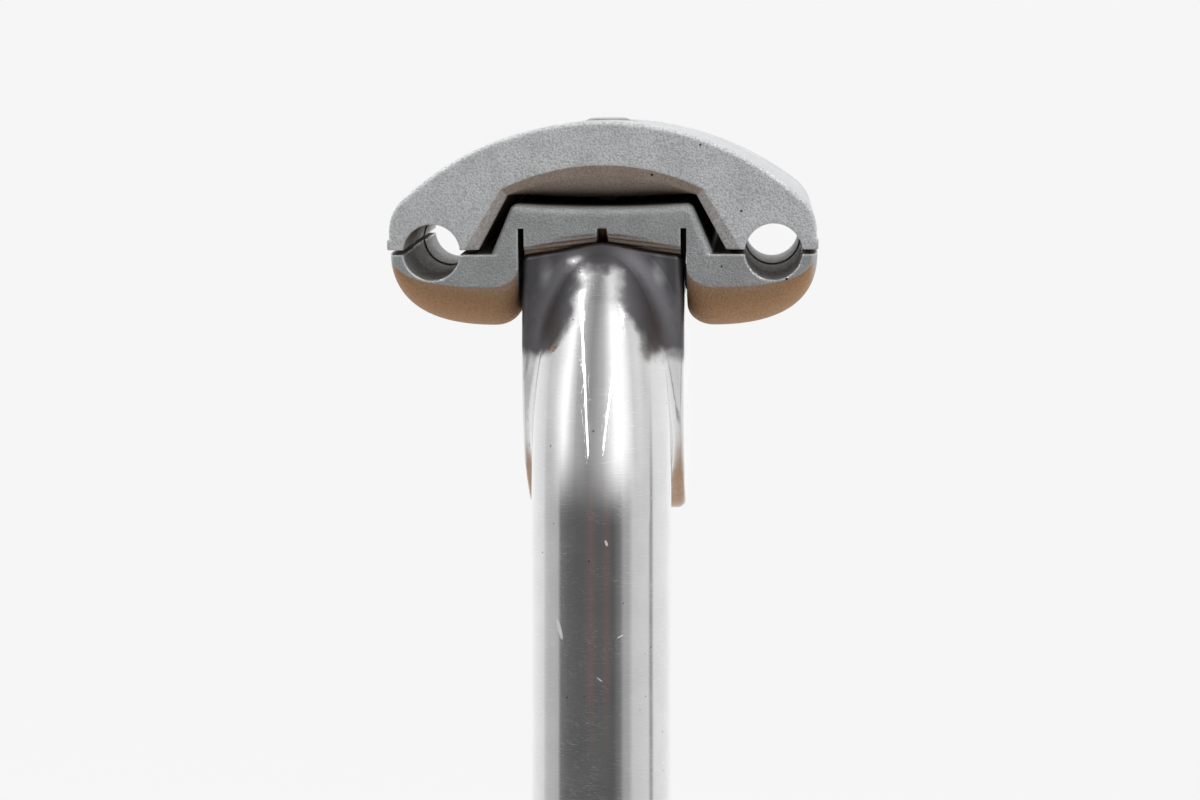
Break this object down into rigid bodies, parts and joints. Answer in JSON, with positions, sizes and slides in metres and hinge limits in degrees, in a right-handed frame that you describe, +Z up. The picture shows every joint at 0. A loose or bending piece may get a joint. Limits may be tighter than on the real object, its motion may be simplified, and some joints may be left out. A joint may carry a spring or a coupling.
{
  "type": "seatpost",
  "caption": "Bicycle seatpost: a round shaft and a flattened neck that leans back to a serrated head, with a bolted clamp that grips and tilts the saddle rails.",
  "frame": {"origin": "on the shaft's axis at its lower end", "axes": "+Z up along the shaft, +Y to the rear of the bicycle, +X to the right as seen from the front"},
  "size_m": [0.0542, 0.0573, 0.2501],
  "materials": {
    "polished_aluminium": "polished, with fine scratches",
    "satin_aluminium": "bead-blasted satin",
    "bolt_steel": "plain steel"
  },
  "bodies": {
    "post": {"post": "polished_aluminium"},
    "clamp": {"lower_cradle": "satin_aluminium", "upper_cap": "satin_aluminium", "clamp_bolt": "bolt_steel", "plain_washer": "bolt_steel", "rocker_washer": "bolt_steel"}
  },
  "joints": [
    {"name": "clamp_tilt", "type": "hinge", "parent": "post", "child": "clamp", "pos_m": [0, 0.01663, 0.25778], "axis": [1, 0, 0], "range_deg": [-3, 12]}
  ]
}
